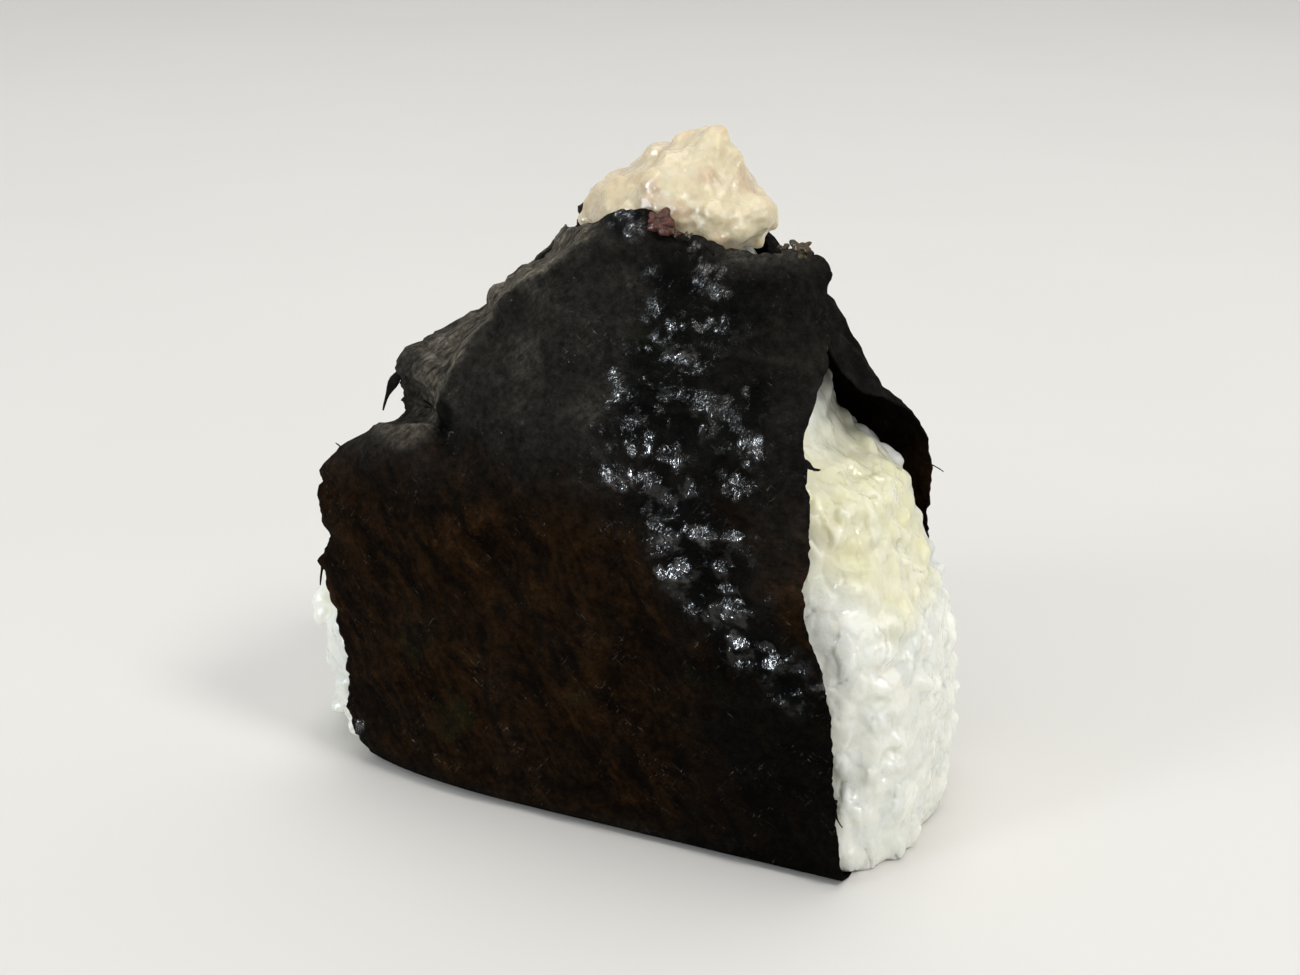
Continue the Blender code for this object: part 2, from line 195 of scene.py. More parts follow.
def ridges_at(points, scale, seed=0.0, stretch=(1.0, 1.0, 1.0)):
    """Sharp creases, 0 between them and up to 1 along them."""
    return (1.0 - np.minimum(np.abs(noise_at(points, scale, seed, stretch=stretch)) * 3.2, 1.0)) ** 2


def smooth_step(low, high, values):
    share = np.clip((np.asarray(values, float) - low) / (high - low), 0.0, 1.0)
    return share * share * (3.0 - 2.0 * share)


def mesh_object(name, points, faces, material):
    """A new mesh object from points in millimetres."""
    mesh = bpy.data.meshes.new(name)
    mesh.from_pydata((np.asarray(points) * MM).tolist(), [], faces)
    mesh.update()
    piece = bpy.data.objects.new(name, mesh)
    bpy.context.scene.collection.objects.link(piece)
    if material:
        mesh.materials.append(material)
    mesh.shade_smooth()
    return piece


def points_of(piece):
    points = np.empty(len(piece.data.vertices) * 3)
    piece.data.vertices.foreach_get("co", points)
    return points.reshape(-1, 3) / MM


def move_points(piece, points):
    piece.data.vertices.foreach_set("co", (points * MM).ravel())
    piece.data.update()


def normals_of(piece):
    normals = np.empty(len(piece.data.vertices) * 3)
    piece.data.vertices.foreach_get("normal", normals)
    return normals.reshape(-1, 3)


def set_attribute(piece, name, values):
    values = np.asarray(values, float)
    kind = "FLOAT" if values.ndim == 1 else "FLOAT_VECTOR"
    attribute = piece.data.attributes.new(name, kind, "POINT")
    attribute.data.foreach_set("value" if values.ndim == 1 else "vector", values.ravel())


def apply_modifiers(piece):
    """Replaces the piece's mesh by what its modifiers make of it."""
    evaluated = piece.evaluated_get(bpy.context.evaluated_depsgraph_get())
    mesh = bpy.data.meshes.new_from_object(evaluated)
    old = piece.data
    piece.modifiers.clear()
    piece.data = mesh
    mesh.name = piece.name
    bpy.data.meshes.remove(old)


def remesh(piece, voxel):
    modifier = piece.modifiers.new("fuse", "REMESH")
    modifier.mode = "VOXEL"
    modifier.voxel_size = voxel * MM
    apply_modifiers(piece)
    piece.data.shade_smooth()


def smoothed(points, edges, rounds, strength=0.5):
    """Points drawn towards the mean of their neighbours."""
    count = np.bincount(edges.ravel(), minlength=len(points))[:, None]
    for _ in range(rounds):
        total = np.zeros_like(points)
        for axis in range(3):
            total[:, axis] = np.bincount(edges[:, 0], points[edges[:, 1], axis], len(points))
            total[:, axis] += np.bincount(edges[:, 1], points[edges[:, 0], axis], len(points))
        points = points + strength * (total / count - points)
    return points


def edges_of(piece):
    edges = np.empty(len(piece.data.edges) * 2, np.int32)
    piece.data.edges.foreach_get("vertices", edges)
    return edges.reshape(-1, 2)


def cavity_of(piece, rounds):
    """How far each point lies in a hollow (above 0) or on a hump (below 0), in millimetres."""
    points = points_of(piece)
    even = smoothed(points, edges_of(piece), rounds)
    return np.einsum("ij,ij->i", even - points, normals_of(piece))


# ---------------------------------------------------------------- material helpers

class Nodes:
    """Short calls for building one material's node tree."""

    def __init__(self, name):
        self.material = bpy.data.materials.new(name)
        self.material.use_nodes = True
        self.tree = self.material.node_tree
        self.shader = self.tree.nodes["Principled BSDF"]

    def node(self, kind, **settings):
        made = self.tree.nodes.new(kind)
        for key, value in settings.items():
            setattr(made, key, value)
        return made

    def link(self, source, target):
        self.tree.links.new(source, target)

    def put(self, socket, value):
        if isinstance(value, bpy.types.NodeSocket):
            self.link(value, socket)
        else:
            socket.default_value = value

    def set(self, **values):
        """Sets or links the shader's sockets, named with _ for a space."""
        for key, value in values.items():
            self.put(self.shader.inputs[key.replace("_", " ")], value)

    def attribute(self, name, output="Fac"):
        return self.node("ShaderNodeAttribute", attribute_name=name).outputs[output]

    def place(self):
        return self.node("ShaderNodeTexCoord").outputs["Object"]

    def scaled(self, vector, scale, turn=0.0):
        mapping = self.node("ShaderNodeMapping")
        mapping.inputs["Scale"].default_value = scale
        mapping.inputs["Rotation"].default_value = (0.0, 0.0, turn)
        self.link(vector, mapping.inputs["Vector"])
        return mapping.outputs["Vector"]

    def noise(self, vector, scale, detail=3.0, roughness=0.55, distortion=0.0):
        made = self.node("ShaderNodeTexNoise")
        self.link(vector, made.inputs["Vector"])
        made.inputs["Scale"].default_value = scale
        made.inputs["Detail"].default_value = detail
        made.inputs["Roughness"].default_value = roughness
        made.inputs["Distortion"].default_value = distortion
        return made.outputs["Fac"]

    def voronoi(self, vector, scale, feature="F1"):
        made = self.node("ShaderNodeTexVoronoi", feature=feature)
        self.link(vector, made.inputs["Vector"])
        made.inputs["Scale"].default_value = scale
        return made.outputs["Distance"]

    def range(self, value, low, high, to_low=0.0, to_high=1.0, smooth=True):
        made = self.node("ShaderNodeMapRange")
        made.interpolation_type = "SMOOTHSTEP" if smooth else "LINEAR"
        self.put(made.inputs["Value"], value)
        made.inputs["From Min"].default_value = low
        made.inputs["From Max"].default_value = high
        made.inputs["To Min"].default_value = to_low
        made.inputs["To Max"].default_value = to_high
        return made.outputs["Result"]

    def math(self, operation, first, second=0.0, clamp=False):
        made = self.node("ShaderNodeMath", operation=operation, use_clamp=clamp)
        self.put(made.inputs[0], first)
        self.put(made.inputs[1], second)
        return made.outputs["Value"]

    def mix(self, share, first, second, blend="MIX"):
        made = self.node("ShaderNodeMix", data_type="RGBA", blend_type=blend)
        self.put(made.inputs["Factor"], share)
        self.put(made.inputs[6], first)
        self.put(made.inputs[7], second)
        return made.outputs[2]

    def bump(self, height, strength, distance, normal=None):
        made = self.node("ShaderNodeBump")
        self.link(height, made.inputs["Height"])
        made.inputs["Distance"].default_value = distance
        self.put(made.inputs["Strength"], strength)
        if normal:
            self.link(normal, made.inputs["Normal"])
        return made.outputs["Normal"]


def rgb(red, green, blue):
    """A colour given as it looks on a screen, 0 to 255, in the linear values that nodes use."""
    return tuple(((value / 255.0 + 0.055) / 1.055) ** 2.4 if value > 10 else value / 3294.6
                 for value in (red, green, blue)) + (1.0,)


# ---------------------------------------------------------------- materials

def rice_material():
    m = Nodes("rice")
    place = m.place()
    tone = m.attribute("grain_tone")
    stain = m.attribute("stain")
    cavity = m.attribute("cavity")
    white = m.mix(tone, rgb(235, 234, 223), rgb(218, 221, 213))
    cloud = m.noise(place, 150.0, 3.0)
    white = m.mix(m.range(cloud, 0.5, 0.75, 0.0, 0.7), white, rgb(216, 219, 213))
    # Greyer rice: partly the tone of translucent grains at the back right, partly painted shade on the rice near the
    # top under the nori flap.
    white = m.mix(m.attribute("translucent_and_shaded"), white, rgb(196, 200, 197))
    oily = m.mix(m.noise(place, 170.0, 3.0), rgb(228, 225, 196), rgb(218, 213, 166))
    colour = m.mix(m.math("MULTIPLY", stain, m.range(cloud, 0.25, 0.65, 0.55, 1.0)), white, oily)
    # Painted shade: the colour darkens towards a duller, yellower tone in the hollows between grains, where shade
    # falls.
    crease = m.range(cavity, 0.16, 0.42)
    painted_crease_shade = m.mix(stain, rgb(196, 194, 176), rgb(178, 168, 108))
    colour = m.mix(m.math("MULTIPLY", crease, 0.6), colour, painted_crease_shade)
    skin = m.noise(place, 800.0, 3.0, 0.6)
    pits = m.noise(place, 2200.0, 2.0, 0.6)
    height = m.math("ADD", skin, m.math("MULTIPLY", pits, 0.3))
    normal = m.bump(height, 0.8, 0.00016)
    film = m.bump(m.noise(place, 1000.0, 1.4, 0.45), 1.0, 0.00045)
    wet = m.noise(place, 260.0, 3.0, 0.6)
    m.set(Base_Color=colour, Roughness=m.range(wet, 0.3, 0.75, 0.5, 0.3), Normal=normal,
          Coat_Weight=m.range(wet, 0.45, 0.62, 0.05, 1.0), Coat_Roughness=0.06, Coat_Normal=film,
          Subsurface_Weight=0.9, Subsurface_Radius=(1.0, 0.96, 0.84), Subsurface_Scale=0.003)
    return m.material


def streaks(m, place, angle, length, width, detail=4.0, distortion=0.3):
    """Noise drawn out along a direction in the XZ plane; angle from +X towards +Z, sizes in metres."""
    turned = m.node("ShaderNodeMapping", vector_type="TEXTURE")
    turned.inputs["Rotation"].default_value = (0.0, -angle, 0.0)
    turned.inputs["Scale"].default_value = (length, width, width)
    m.link(place, turned.inputs["Vector"])
    return m.noise(turned.outputs["Vector"], 1.0, detail, 0.65, distortion)


def nori_material():
    m = Nodes("nori")
    sheet = m.attribute("sheet_mm", "Vector")
    split = m.node("ShaderNodeSeparateXYZ")
    m.link(m.attribute("nori_mask", "Vector"), split.inputs["Vector"])
    wet, grey_and_sheen, brown_and_reflection = split.outputs
    crease = m.attribute("crease")
    place = m.place()
    slope_fibre = streaks(m, place, math.radians(42.0), 0.004, 0.0007)
    falling_fibre = streaks(m, place, math.radians(-55.0), 0.011, 0.0042, 6.0, 1.4)
    cross_fibre = streaks(m, place, math.radians(-8.0), 0.004, 0.0006)
    blotch = m.noise(place, 120.0, 4.0, 0.6)
    base = m.mix(m.range(blotch, 0.35, 0.65), rgb(8, 8, 7), rgb(25, 24, 21))
    leathery = m.noise(place, 620.0, 5.0, 0.75)
    smear = m.math("ADD", m.math("MULTIPLY", falling_fibre, 0.68), m.math("MULTIPLY", leathery, 0.32))
    # Brown tint on the lower front: partly the sheet's own brown tone, partly a painted reflection of a brown surface
    # below.
    brown_tone_and_reflection = m.mix(m.range(smear, 0.38, 0.68), rgb(10, 5, 2), rgb(42, 26, 10))
    base = m.mix(m.math("MULTIPLY", brown_and_reflection, m.range(m.noise(place, 45.0, 3.0), 0.3, 0.7, 0.7, 1.0)), base, brown_tone_and_reflection)
    green = m.range(m.noise(place, 75.0, 3.0), 0.64, 0.74)
    base = m.mix(m.math("MULTIPLY", green, 0.3), base, rgb(36, 40, 22))
    # Painted shadow: the lower right of the front panel darkened almost to black.
    base = m.mix(m.attribute("painted_corner_shadow"), base, rgb(5, 4, 3))
    # Greyish dry colour: partly the dry sheet's own grey tone, partly painted sheen on the slopes and bends that face
    # the lamps.
    streaky = m.math("MULTIPLY", m.range(slope_fibre, 0.3, 0.7), m.range(grey_and_sheen, 0.3, 0.8))
    dry = m.mix(streaky, rgb(52, 50, 47), rgb(128, 121, 107))
    mottled = m.range(m.noise(place, 700.0, 4.0, 0.7), 0.3, 0.7, 0.6, 1.2)
    base = m.mix(m.math("MULTIPLY", grey_and_sheen, mottled, clamp=True), base, dry)
    hairs = m.math("MAXIMUM", m.range(streaks(m, place, math.radians(55.0), 0.0021, 0.0003, 2.0), 0.64, 0.74),
                   m.range(streaks(m, place, math.radians(-35.0), 0.0026, 0.0003, 2.0), 0.64, 0.74))
    scattered = m.range(m.noise(place, 190.0, 3.0), 0.45, 0.65)
    hairs = m.math("MULTIPLY", hairs, scattered)
    base = m.mix(m.math("MULTIPLY", hairs, 0.4), base, rgb(88, 82, 69))
    base = m.mix(1.0, base, m.range(m.noise(place, 850.0, 5.0, 0.75), 0.32, 0.68, 0.6, 1.4), "MULTIPLY")
    # Painted light and shade: the colour is lighter on the sheet's ridges and darker in its hollows.
    base = m.mix(1.0, base, m.range(m.attribute("painted_relief_shading"), -0.9, 1.0, 0.45, 1.6), "MULTIPLY")
    base = m.mix(m.math("MULTIPLY", wet, 0.5), base, rgb(9, 9, 9))
    fine = m.noise(place, 1400.0, 4.0, 0.7)
    height = m.math("ADD", m.math("MULTIPLY", fine, 0.5), m.math("MULTIPLY", cross_fibre, 0.8))
    coarse = m.bump(m.noise(place, 300.0, 4.0, 0.65), 1.0, 0.0014)
    matt = m.bump(height, 1.0, 0.0004, coarse)
    wrinkle = m.noise(m.scaled(sheet, (1.25, 0.7, 1.0), 0.5), 1.15, 1.8, 0.45, 0.6)
    swell = m.noise(m.scaled(sheet, (1.0, 0.8, 1.0), -0.6), 0.42, 1.0, 0.4, 0.8)
    glossy = m.bump(m.math("ADD", wrinkle, m.math("MULTIPLY", swell, 1.5)), 1.0, 0.00036)
    grainy = m.range(m.noise(place, 1500.0, 2.0, 0.6), 0.38, 0.58, 0.3, 1.0)
    damp = m.math("MULTIPLY", wet, m.range(m.noise(place, 330.0, 3.0, 0.6), 0.5, 0.66, 0.0, 0.28))
    shine = m.math("MAXIMUM", m.math("MULTIPLY", crease, grainy), damp)
    shine = m.math("ADD", shine, m.math("MULTIPLY", hairs, 0.12), clamp=True)
    m.set(Base_Color=base, Roughness=0.75, Normal=matt, Specular_IOR_Level=0.01,
          Coat_Weight=shine, Coat_Roughness=0.11, Coat_IOR=1.85, Coat_Normal=glossy)
    return m.material


def filling_material():
    m = Nodes("filling")
    place = m.place()
    cavity = m.attribute("cavity")
    tan_and_left_shade = m.attribute("tan_and_left_shade")
    cream = m.mix(m.noise(place, 170.0, 3.0), rgb(222, 211, 179), rgb(206, 191, 155))
    flesh = m.mix(m.noise(place, 420.0, 3.0), rgb(206, 176, 140), rgb(176, 138, 102))
    # Painted shade, partly the tuna flesh's own tone: the cream turns tan in the hollows and where the tan mask is set.
    share = m.math("ADD", m.range(cavity, 0.02, 0.4, 0.0, 0.7), m.math("MULTIPLY", tan_and_left_shade, 0.5), clamp=True)
    colour = m.mix(share, cream, flesh)
    grain = m.noise(place, 600.0, 4.0, 0.6)
    normal = m.bump(grain, 0.6, 0.0005)
    film = m.bump(m.noise(place, 1800.0, 1.6, 0.45), 1.0, 0.00032)
    wet = m.noise(place, 260.0, 3.0, 0.6)
    m.set(Base_Color=colour, Roughness=m.range(wet, 0.35, 0.7, 0.5, 0.3), Normal=normal,
          Coat_Weight=m.range(wet, 0.42, 0.58, 0.05, 1.0), Coat_Roughness=0.07, Coat_Normal=film,
          Subsurface_Weight=0.75, Subsurface_Radius=(1.0, 0.72, 0.48), Subsurface_Scale=0.0016)
    return m.material


def morsel_material():
    m = Nodes("morsel")
    place = m.place()
    blend = m.math("ADD", m.attribute("tone"), m.range(m.noise(place, 900.0, 3.0), 0.3, 0.7, -0.3, 0.3), clamp=True)
    flesh = m.mix(m.noise(place, 1300.0, 3.0), rgb(100, 54, 42), rgb(48, 24, 18))
    leaf = m.mix(m.noise(place, 1300.0, 3.0), rgb(78, 66, 32), rgb(26, 27, 12))
    # Painted shade: the crumbs darken towards brown-black in their crevices.
    colour = m.mix(m.range(m.attribute("cavity"), 0.0, 0.25, 0.0, 0.7), m.mix(blend, flesh, leaf), rgb(24, 16, 9))
    normal = m.bump(m.noise(place, 1500.0, 3.0, 0.6), 0.8, 0.0002)
    m.set(Base_Color=colour, Roughness=0.45, Normal=normal, Specular_IOR_Level=0.2, Coat_Weight=0.12, Coat_Roughness=0.18,
          Subsurface_Weight=0.2, Subsurface_Radius=(1.0, 0.5, 0.3), Subsurface_Scale=0.0008)
    return m.material


def floor_material():
    m = Nodes("floor")
    cloud = m.noise(m.place(), 6.0, 3.0)
    m.set(Base_Color=m.mix(cloud, rgb(222, 219, 213), rgb(216, 213, 207)), Roughness=0.75)
    return m.material


# ---------------------------------------------------------------- nori sheet

def profile(table, heights, column=1, softening=EDGE_SOFTENING):
    """Values of a profile at heights, its corners rounded by averaging over a short stretch."""
    knots = np.array(table, float)
    total = weight = 0.0
    for offset in np.linspace(-1.0, 1.0, 7):
        share = 1.0 - 0.8 * abs(offset)
        total = total + share * np.interp(heights + offset * softening, knots[:, 0], knots[:, column])
        weight += share
    return total / weight


def cut_edge(table, heights, seed, depth=FRAY_DEPTH):
    """A torn edge: its x with small teeth, and its distance from the middle plane."""
    rows = np.stack((heights, np.zeros_like(heights), np.zeros_like(heights)), axis=1)
    teeth = depth * (noise_at(rows, FRAY_SIZE, seed) + 0.7 * noise_at(rows, 0.3 * FRAY_SIZE, seed + 1))
    return profile(table, heights, 1, CUT_SOFTENING) + teeth, profile(table, heights, 2)


def section_arcs(edge_x, edge_y, face, roundness):
    """Rows of points from the middle of a face round to a cut edge, along superellipses."""
    share = np.minimum(np.abs(edge_y) / face, 0.9995)
    half_width = np.abs(edge_x) / (1.0 - share ** roundness) ** (1.0 / roundness)
    power = roundness / 2.0
    end = np.arctan2((np.abs(edge_x) / half_width) ** power, share ** power)
    end = np.where(edge_y < 0, math.pi - end, end)
    angles = np.linspace(0.0, 1.0, SECTION_SAMPLES)[None] ** 1.3 * end[:, None]
    cosine = np.cos(angles)
    x = half_width[:, None] * np.abs(np.sin(angles)) ** (1.0 / power)[:, None]
    y = face[:, None] * np.sign(cosine) * np.abs(cosine) ** (1.0 / power)[:, None]
    return np.sign(edge_x)[:, None] * x, y


def wall_points(across, heights, left, right, faces, seed):
    """Places on a wall of the sheet: x, and the distance from the middle plane, for each across and height."""
    face = profile(faces, heights)
    even = np.full_like(heights, NORI_SECTION_POWER)
    flatter = even + (WING_SECTION_POWER - even) * smooth_step(49.0, 54.0, heights)
    left_x, left_y = section_arcs(*cut_edge(left, heights, seed, LEFT_FRAY * FRAY_DEPTH), face, flatter)
    right_x, right_y = section_arcs(*cut_edge(right, heights, seed + 2), face, even)
    x = np.concatenate((left_x[:, ::-1], right_x[:, 1:]), axis=1)
    y = np.concatenate((left_y[:, ::-1], right_y[:, 1:]), axis=1)
    run = np.concatenate((np.zeros((len(x), 1)), np.cumsum(np.hypot(np.diff(x), np.diff(y)), axis=1)), axis=1)
    wanted = (across + 1.0) / 2.0 * run[:, -1]
    after = np.clip((run < wanted[:, None]).sum(axis=1), 1, x.shape[1] - 1)
    rows = np.arange(len(x))
    share = (wanted - run[rows, after - 1]) / (run[rows, after] - run[rows, after - 1])
    place_x = x[rows, after - 1] + share * (x[rows, after] - x[rows, after - 1])
    place_y = y[rows, after - 1] + share * (y[rows, after] - y[rows, after - 1])
    return place_x, place_y


def wall(across, up, top_edge, left, right, faces, side, seed):
    """One row of the sheet on its front (side -1) or back (side 1), bent inwards along its top edge."""
    top = np.interp(across, *np.array(top_edge, float).T)
    ends = np.stack((across * 20.0, np.zeros_like(across), np.full_like(across, side)), axis=1)
    top = top + 0.35 * noise_at(ends, 0.8, seed + 4) + 0.3 * noise_at(ends, 2.5, seed + 5)
    heights = NORI_CORNER_HEIGHT + up * (top - NORI_CORNER_HEIGHT)
    x, y = wall_points(across, heights, left, right, faces, seed)
    if side < 0:
        bend = np.clip(1.0 - (top - heights) / ROOF_RUN, 0.0, 1.0) ** 1.5
        y = y - ROOF_DEPTH * bend * smooth_step(11.0, 16.0, x) * smooth_step(31.0, 27.0, x)
    return np.stack((x, side * y, heights), axis=1)


def sheet_grid():
    """The sheet's middle surface, row by row: down the front (from its top), under the base, up the back."""
    across = np.linspace(-1.0, 1.0, NORI_COLUMNS + 1)
    rows = []
    for up in np.linspace(1.0, 0.0, NORI_FRONT_ROWS + 1):
        rows.append(wall(across, np.full_like(across, up), FRONT_TOP_EDGE, FRONT_LEFT_EDGE, FRONT_RIGHT_EDGE,
                         FRONT_FACE_DISTANCE, -1.0, 31))
    back = []
    for up in np.linspace(0.0, 1.0, NORI_BACK_ROWS + 1):
        back.append(wall(across, np.full_like(across, up), BACK_TOP_EDGE, BACK_LEFT_EDGE, BACK_RIGHT_EDGE,
                         BACK_FACE_DISTANCE, 1.0, 41))
    for share in np.linspace(0.0, 1.0, NORI_UNDER_ROWS + 2)[1:-1]:
        place = rows[NORI_FRONT_ROWS] * (1.0 - share) + back[0] * share
        place[:, 2] = NORI_OUTWARD
        rows.append(place)
    return np.array(rows + back)


def grid_faces(rows, columns):
    faces = []
    for row in range(rows - 1):
        for column in range(columns - 1):
            corner = row * columns + column
            faces.append((corner, corner + columns, corner + columns + 1, corner + 1))
    return faces


def creases(points):
    """How much each point shines as part of a wet crease, and the bulge that tips the creases up to the light."""
    x, y, z = points.T
    x = x + 1.7 * noise_at(points, 2.1, 17) + 0.6 * noise_at(points, 0.9, 18)
    z = z + 1.3 * noise_at(points, 1.8, 19) + 0.5 * noise_at(points, 0.8, 25)
    shine, bulge = np.zeros(len(points)), np.zeros(len(points))
    for middle_x, middle_z, half_width, half_height in CREASES:
        across, up = (x - middle_x) / half_width, (z - middle_z) / half_height
        brightness = RNG.uniform(0.45, 1.0)
        tip = CREASE_RISE * half_height * (1.0 - 0.6 * float(smooth_step(58.0, 74.0, middle_z)))
        lean, swell = RNG.uniform(-0.6, 0.6), RNG.uniform(0.6, 1.2)
        for face, across in ((-1.0, across), (1.0, (x + 0.8 * middle_x - BACK_PATCH_X) / half_width)):
            near = smooth_step(2.0, 8.0, face * y)
            shine = np.maximum(shine, near * brightness * np.exp(-0.8 * (across ** 2 + up ** 2) ** 1.4))
            bulge += near * swell * tip * np.exp(-((across / 1.3) ** 2) - (up + 0.8 + lean * across) ** 2)
    return smooth_step(0.15, 0.75, shine) * smooth_step(-0.3, 0.1, noise_at(points, 1.5, 31)), bulge


def nori_relief(points, wet, bulge):
    """How far each point stands out from the even sheet: folds, waves, the grains under it and crinkles."""
    x, y, z = points.T
    front = smooth_step(3.0, 9.0, -y)
    past_fold = x - np.interp(z, *np.array(WING_FOLD, float).T)
    fold_run = front * smooth_step(52.0, 58.0, z) * smooth_step(86.0, 80.0, z)
    wander = past_fold + 0.9 * noise_at(points, 7.0, 12)
    lift = fold_run * (0.9 * np.exp(-(wander / 1.7) ** 2) - 0.7 * np.exp(-((wander + 4.4) / 2.9) ** 2))
    lift += 0.5 * fold_run * smooth_step(0.0, -3.0, wander) * noise_at(points, 2.6, 15, stretch=(2.0, 1.0, 1.6))
    shoulder = np.interp(x, (-42.0, -39.8, -33.2, -26.4, -22.0), (47.5, 49.0, 52.8, 55.1, 54.8))
    above = z - shoulder
    near = front * smooth_step(-19.0, -25.0, x)
    lift += near * (0.9 * smooth_step(-8.0, -0.3, above) - 1.9 * smooth_step(-0.2, 0.9, above)
                    + 1.0 * smooth_step(1.0, 8.0, above))
    hump = np.exp(-((x - 5.4) / 4.0) ** 4) * smooth_step(81.5, 84.5, z) * smooth_step(2.0, 7.0, -y)
    lift += 2.1 * hump + bulge
    lift += 0.55 * noise_at(points, 10.0, 1) + 0.28 * noise_at(points, 4.5, 2)
    lift += wet * (1.0 * noise_at(points, 5.2, 5, stretch=(1.3, 1.0, 1.0)) + 0.35 * noise_at(points, 1.8, 4))
    lift += (0.12 + 0.6 * wet) * (ridges_at(points, 4.2, 3, (1.6, 1.0, 0.8)) - 0.25)
    lift += (1.0 - front) * (0.35 * noise_at(points, 3.2, 26) + 0.35 * ridges_at(points, 6.5, 27, (1.0, 1.0, 1.8)))
    folds = ridges_at(points, 11.0, 32, (1.8, 1.0, 0.9))
    lift += 0.55 * (folds - 0.3) * (1.0 - wet) + 0.09 * noise_at(points, 1.5, 6)
    back = smooth_step(8.0, 16.0, y)
    lift += back * (0.9 * noise_at(points, 8.0, 33) - 0.5)
    return lift - back * np.maximum(lift - BACK_RELIEF_LIMIT, 0.0)


def shred(start, middle, end, width):
    """A thin tapering strip along a bent path, as a flat closed tube: points and faces."""
    start, middle, end = (np.array(place, float) for place in (start, middle, end))
    rings, sides = 9, 6
    points = []
    for ring in range(rings + 1):
        share = ring / rings
        place = (1 - share) ** 2 * start + 2 * share * (1 - share) * middle + share ** 2 * end
        along = 2 * (1 - share) * (middle - start) + 2 * share * (end - middle)
        along /= np.linalg.norm(along)
        flat = np.cross(along, (0.0, 1.0, 0.0))
        flat /= np.linalg.norm(flat)
        up = np.cross(along, flat)
        half = width / 2 * (1.0 - 0.85 * share ** 2) * (1.0 + 0.3 * math.sin(9.0 * share + width * 7.0))
        for side in range(sides):
            turn = math.tau * side / sides
            points.append(place + half * math.cos(turn) * flat + 0.14 * math.sin(turn) * up)
    faces = [(ring * sides + side, ring * sides + (side + 1) % sides, (ring + 1) * sides + (side + 1) % sides,
              (ring + 1) * sides + side) for ring in range(rings) for side in range(sides)]
    faces += [tuple(range(sides))[::-1], tuple(range(rings * sides, (rings + 1) * sides))]
    return np.array(points), faces


def make_nori(material):
    """The wrap, and the outer surface that the rice must stay under."""
    grid = sheet_grid()
    rows, columns = grid.shape[:2]
    points = grid.reshape(-1, 3)
    x, y, z = points.T
    rise = SHOULDER_RISE * smooth_step(-41.0, -27.0, x) * smooth_step(-18.0, -26.0, x) * smooth_step(3.0, 9.0, -y)
    points[:, 2] += rise * np.exp(-((z - 51.0) / 6.0) ** 2)
    steps = np.linalg.norm(np.diff(grid[:, columns // 2], axis=0), axis=1)
    along = np.repeat(np.concatenate(([0.0], np.cumsum(steps))), columns)
    across = np.tile(np.linspace(-43.0, 43.0, columns), rows)
    faces = grid_faces(rows, columns)
    sheet = mesh_object("sheet", points, faces, None)
    normals = normals_of(sheet)
    wet = wet_patch(points)
    shine, bulge = creases(points)
    above_base = smooth_step(0.6, 4.0, points[:, 2])
    relief, edges = nori_relief(points, wet, bulge), edges_of(sheet)
    outer = points + normals * ((NORI_OUTWARD + relief) * above_base)[:, None]
    outer[:, 2] = np.where(above_base > 0, np.maximum(outer[:, 2], 0.0), 0.0)
    move_points(sheet, outer + BASE_MIDDLE)
    outer_normals = normals_of(sheet)
    under = BVHTree.FromPolygons((outer + BASE_MIDDLE).tolist(), faces)
    inner = outer - outer_normals * NORI_THICKNESS
    inner[:, 2] = np.maximum(inner[:, 2], NORI_THICKNESS * (above_base < 1.0))
    bpy.data.objects.remove(sheet)
    count = len(points)
    faces += [tuple(corner + count for corner in face[::-1]) for face in faces]
    rim = rim_of(rows, columns)
    faces += [(a, b, b + count, a + count) for a, b in zip(rim, rim[1:] + rim[:1])]
    everything, masks = [outer, inner], np.stack((wet, grey_and_sheen_wing(points, wet), brown_and_reflection_share(points, wet)), axis=1)
    for strip in SHREDS:
        strip_points, strip_faces = shred(*strip)
        start = sum(len(part) for part in everything)
        faces += [tuple(corner + start for corner in face) for face in strip_faces]
        everything.append(strip_points)
    extra = sum(len(part) for part in everything[2:])
    piece = mesh_object("nori_wrap", np.concatenate(everything) + BASE_MIDDLE, faces, material)
    place = np.stack((across, along, np.zeros_like(across)), axis=1)
    loose = np.concatenate(everything[2:])[:, (0, 2, 1)]
    set_attribute(piece, "sheet_mm", np.concatenate((place, place, loose)))
    set_attribute(piece, "crease", np.concatenate((shine, shine, np.zeros(extra))))
    # How far each point stands out from its surroundings, for the painted light on ridges and painted shade in hollows.
    painted_relief_shading = relief - smoothed(relief[:, None] * np.ones(3), edges, 60)[:, 0]
    set_attribute(piece, "painted_relief_shading", np.concatenate((painted_relief_shading, painted_relief_shading, np.zeros(extra))))
    # Painted shadow over the lower right of the front panel, away from the wet patch.
    painted_corner_shadow = smooth_step(8.0, 30.0, x) * smooth_step(40.0, 26.0, z) * smooth_step(4.0, 14.0, -y) * (1.0 - wet) * 0.75
    set_attribute(piece, "painted_corner_shadow", np.concatenate((painted_corner_shadow, painted_corner_shadow, np.zeros(extra))))
    set_attribute(piece, "nori_mask", np.concatenate((masks, masks, np.tile((0.1, 0.3, 0.0), (extra, 1)))))
    hidden = np.zeros(count * 2 + extra, bool)
    inside = np.zeros((rows, columns), bool)
    inside[4:-4, 4:-4] = True
    hidden[count:2 * count] = inside.ravel()
    thin_hidden(piece, hidden)
    return piece, under


def rim_of(rows, columns):
    """The grid's outline, corner by corner round it."""
    top = list(range(columns))
    right = [row * columns + columns - 1 for row in range(1, rows)]
    bottom = [(rows - 1) * columns + column for column in range(columns - 2, -1, -1)]
    left = [row * columns for row in range(rows - 2, 0, -1)]
    return top + right + bottom + left


